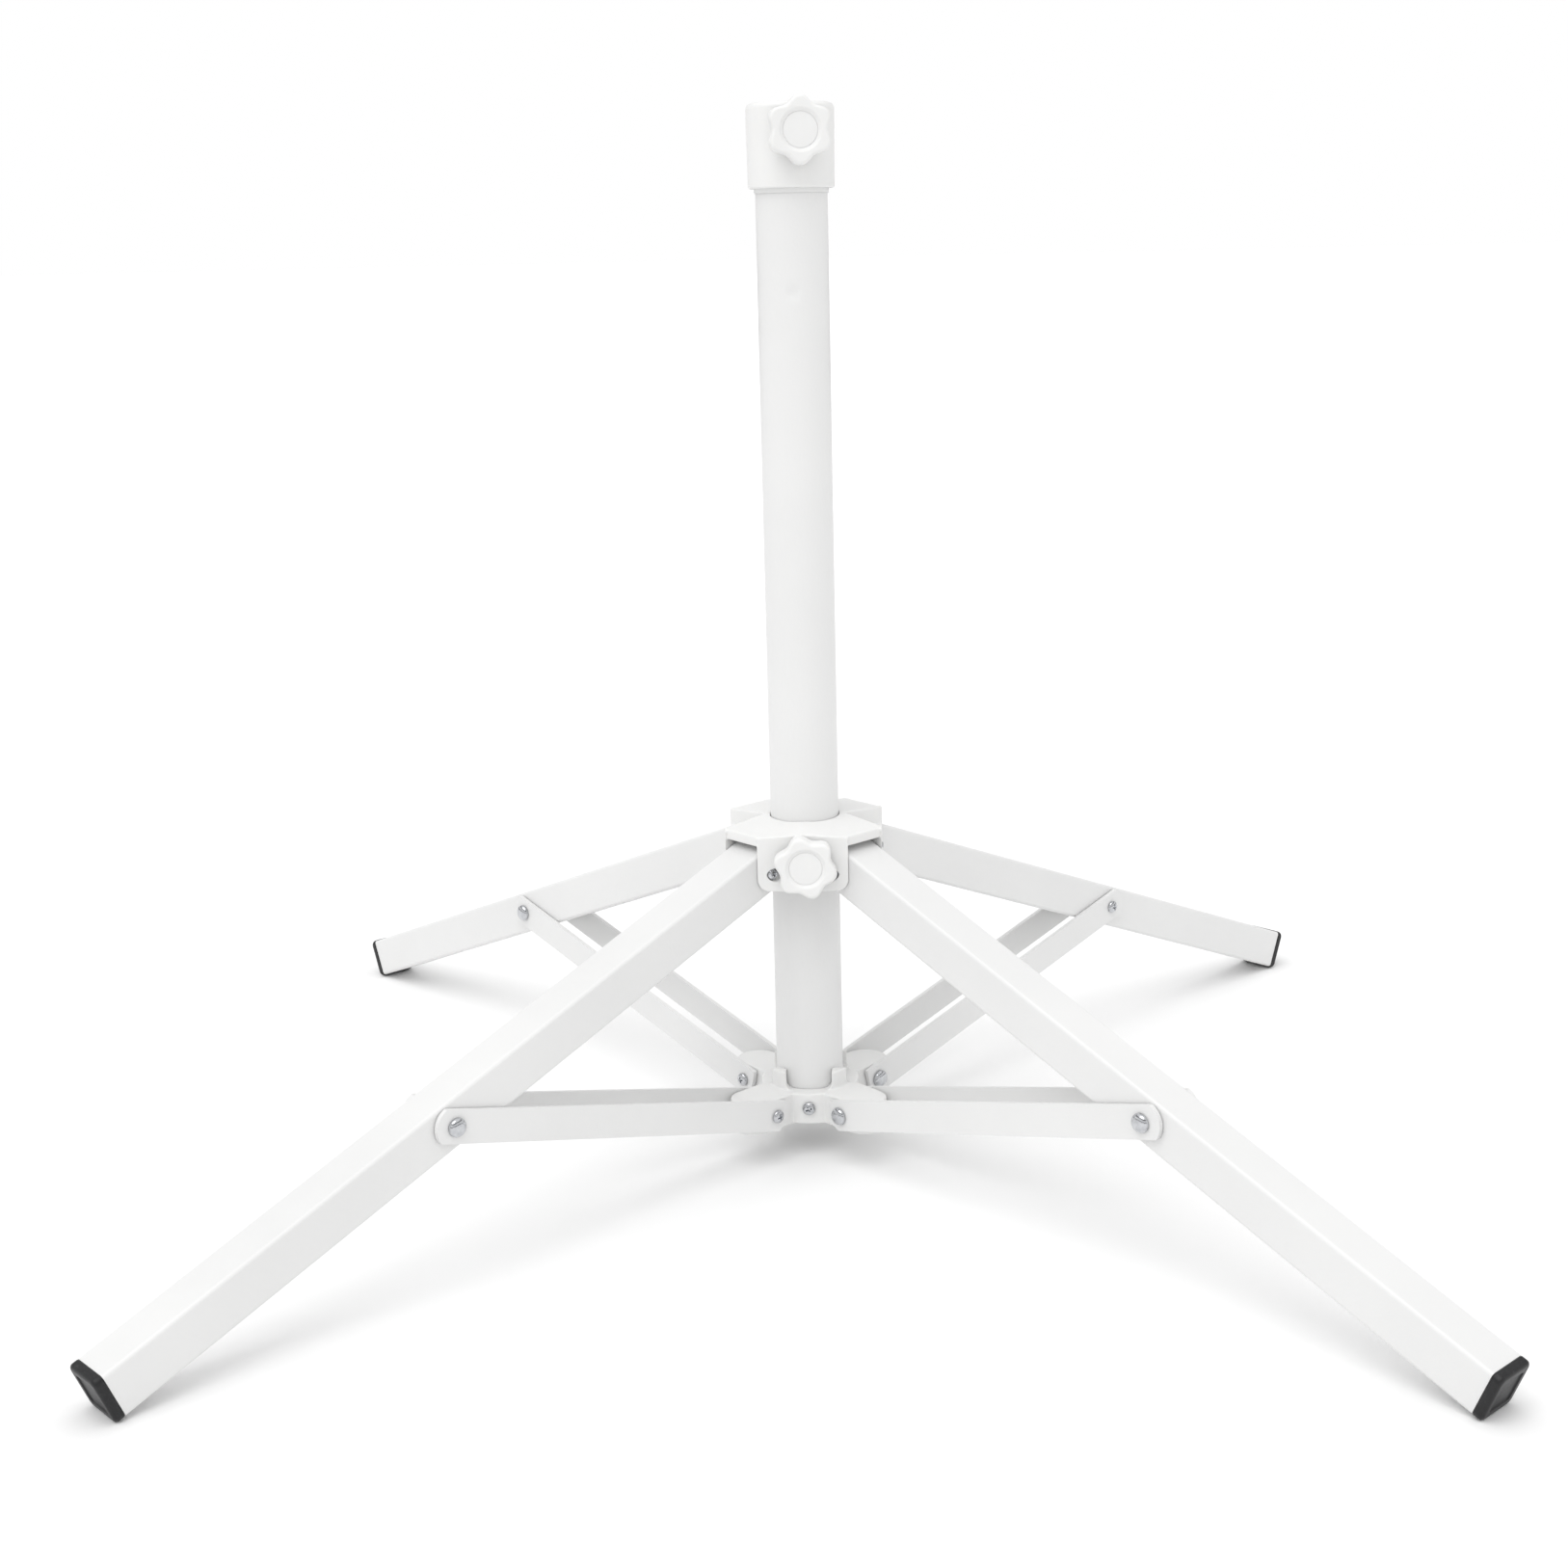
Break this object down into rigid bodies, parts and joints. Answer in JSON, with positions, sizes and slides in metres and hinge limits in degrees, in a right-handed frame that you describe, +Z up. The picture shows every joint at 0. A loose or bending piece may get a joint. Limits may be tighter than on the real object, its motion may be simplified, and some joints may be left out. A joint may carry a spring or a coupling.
{
  "type": "folding rotary clothesline stand",
  "caption": "Folding legged stand of a rotary clothesline: a round mast with a socket collar, and a sliding hub that folds the legs and their struts like an umbrella.",
  "frame": {"origin": "on the ground, below the mast's axis, at the centre of the footprint", "axes": "+Z up along the mast, the clamp knobs towards -Y, the legs on the diagonals between X and Y"},
  "size_m": [0.6492, 0.6492, 0.5797],
  "materials": {
    "powder_coat": "white powder coat, fine orange peel, semi-gloss",
    "white_plastic": "moulded white polypropylene, satin",
    "black_plastic": "moulded black polyethylene, satin",
    "zinc_steel": "bright zinc-plated steel",
    "brass_insert": "machined brass"
  },
  "bodies": {
    "stand": {"mast_tube": "powder_coat", "top_collar": "white_plastic", "collar_insert": "brass_insert", "lower_hub": "white_plastic", "lower_hub_screw": "zinc_steel", "ear_pin_front_left": "zinc_steel", "ear_pin_front_right": "zinc_steel", "ear_pin_back_right": "zinc_steel", "ear_pin_back_left": "zinc_steel"},
    "slider": {"upper_hub": "white_plastic", "hub_insert": "brass_insert", "hub_pivot_bolt_front_left": "zinc_steel", "hub_pivot_bolt_front_right": "zinc_steel", "hub_pivot_bolt_back_right": "zinc_steel", "hub_pivot_bolt_back_left": "zinc_steel", "hub_pivot_nut_front_left": "zinc_steel", "hub_pivot_nut_front_right": "zinc_steel", "hub_pivot_nut_back_right": "zinc_steel", "hub_pivot_nut_back_left": "zinc_steel"},
    "top_knob": {"top_knob": "white_plastic", "top_knob_cap": "white_plastic", "top_knob_screw": "zinc_steel"},
    "hub_knob": {"hub_knob": "white_plastic", "hub_knob_cap": "white_plastic", "hub_knob_screw": "zinc_steel"},
    "leg_front_left": {"leg_tube_front_left": "powder_coat", "foot_cap_front_left": "black_plastic", "leg_bolt_front_left": "zinc_steel", "leg_nut_front_left": "zinc_steel"},
    "strut_front_left": {"strut_bar_left_front_left": "powder_coat", "strut_bar_right_front_left": "powder_coat", "strut_screw_front_left": "zinc_steel", "strut_nut_front_left": "zinc_steel"},
    "leg_front_right": {"leg_tube_front_right": "powder_coat", "foot_cap_front_right": "black_plastic", "leg_bolt_front_right": "zinc_steel", "leg_nut_front_right": "zinc_steel"},
    "strut_front_right": {"strut_bar_left_front_right": "powder_coat", "strut_bar_right_front_right": "powder_coat", "strut_screw_front_right": "zinc_steel", "strut_nut_front_right": "zinc_steel"},
    "leg_back_right": {"leg_tube_back_right": "powder_coat", "foot_cap_back_right": "black_plastic", "leg_bolt_back_right": "zinc_steel", "leg_nut_back_right": "zinc_steel"},
    "strut_back_right": {"strut_bar_left_back_right": "powder_coat", "strut_bar_right_back_right": "powder_coat", "strut_screw_back_right": "zinc_steel", "strut_nut_back_right": "zinc_steel"},
    "leg_back_left": {"leg_tube_back_left": "powder_coat", "foot_cap_back_left": "black_plastic", "leg_bolt_back_left": "zinc_steel", "leg_nut_back_left": "zinc_steel"},
    "strut_back_left": {"strut_bar_left_back_left": "powder_coat", "strut_bar_right_back_left": "powder_coat", "strut_screw_back_left": "zinc_steel", "strut_nut_back_left": "zinc_steel"}
  },
  "joints": [
    {"name": "hub_slide", "type": "slide", "parent": "stand", "child": "slider", "axis": [0, 0, 1], "range_m": [0, 0.30638]},
    {"name": "leg_fold_front_left", "type": "hinge", "parent": "slider", "child": "leg_front_left", "pos_m": [-0.02864, -0.02864, 0.17217], "axis": [0.7071, -0.7071, 0], "range_deg": [0, 68.3]},
    {"name": "strut_fold_front_left", "type": "hinge", "parent": "leg_front_left", "child": "strut_front_left", "pos_m": [-0.17868, -0.17868, 0.08765], "axis": [-0.7071, 0.7071, 0], "range_deg": [0, 143.19]},
    {"name": "leg_fold_front_right", "type": "hinge", "parent": "slider", "child": "leg_front_right", "pos_m": [0.02864, -0.02864, 0.17217], "axis": [0.7071, 0.7071, 0], "range_deg": [0, 68.3]},
    {"name": "strut_fold_front_right", "type": "hinge", "parent": "leg_front_right", "child": "strut_front_right", "pos_m": [0.17868, -0.17868, 0.08765], "axis": [-0.7071, -0.7071, 0], "range_deg": [0, 143.19]},
    {"name": "leg_fold_back_right", "type": "hinge", "parent": "slider", "child": "leg_back_right", "pos_m": [0.02864, 0.02864, 0.17217], "axis": [-0.7071, 0.7071, 0], "range_deg": [0, 68.3]},
    {"name": "strut_fold_back_right", "type": "hinge", "parent": "leg_back_right", "child": "strut_back_right", "pos_m": [0.17868, 0.17868, 0.08765], "axis": [0.7071, -0.7071, 0], "range_deg": [0, 143.19]},
    {"name": "leg_fold_back_left", "type": "hinge", "parent": "slider", "child": "leg_back_left", "pos_m": [-0.02864, 0.02864, 0.17217], "axis": [-0.7071, -0.7071, 0], "range_deg": [0, 68.3]},
    {"name": "strut_fold_back_left", "type": "hinge", "parent": "leg_back_left", "child": "strut_back_left", "pos_m": [-0.17868, 0.17868, 0.08765], "axis": [0.7071, 0.7071, 0], "range_deg": [0, 143.19]},
    {"name": "top_knob_turn", "type": "hinge", "parent": "stand", "child": "top_knob", "pos_m": [0.00442, -0.02272, 0.56217], "axis": [0.1908, -0.9816, 0], "range_deg": [0, 810]},
    {"name": "hub_knob_turn", "type": "hinge", "parent": "slider", "child": "hub_knob", "pos_m": [0.00151, -0.04327, 0.17877], "axis": [0.0349, -0.9994, 0], "range_deg": [0, 810]}
  ],
  "couplings": [
    {"joint": "leg_fold_front_left", "follows": "hub_slide", "rad_per_m": 3.8897},
    {"joint": "strut_fold_front_left", "follows": "hub_slide", "rad_per_m": 8.1561},
    {"joint": "leg_fold_front_right", "follows": "hub_slide", "rad_per_m": 3.8897},
    {"joint": "strut_fold_front_right", "follows": "hub_slide", "rad_per_m": 8.1561},
    {"joint": "leg_fold_back_right", "follows": "hub_slide", "rad_per_m": 3.8897},
    {"joint": "strut_fold_back_right", "follows": "hub_slide", "rad_per_m": 8.1561},
    {"joint": "leg_fold_back_left", "follows": "hub_slide", "rad_per_m": 3.8897},
    {"joint": "strut_fold_back_left", "follows": "hub_slide", "rad_per_m": 8.1561}
  ]
}
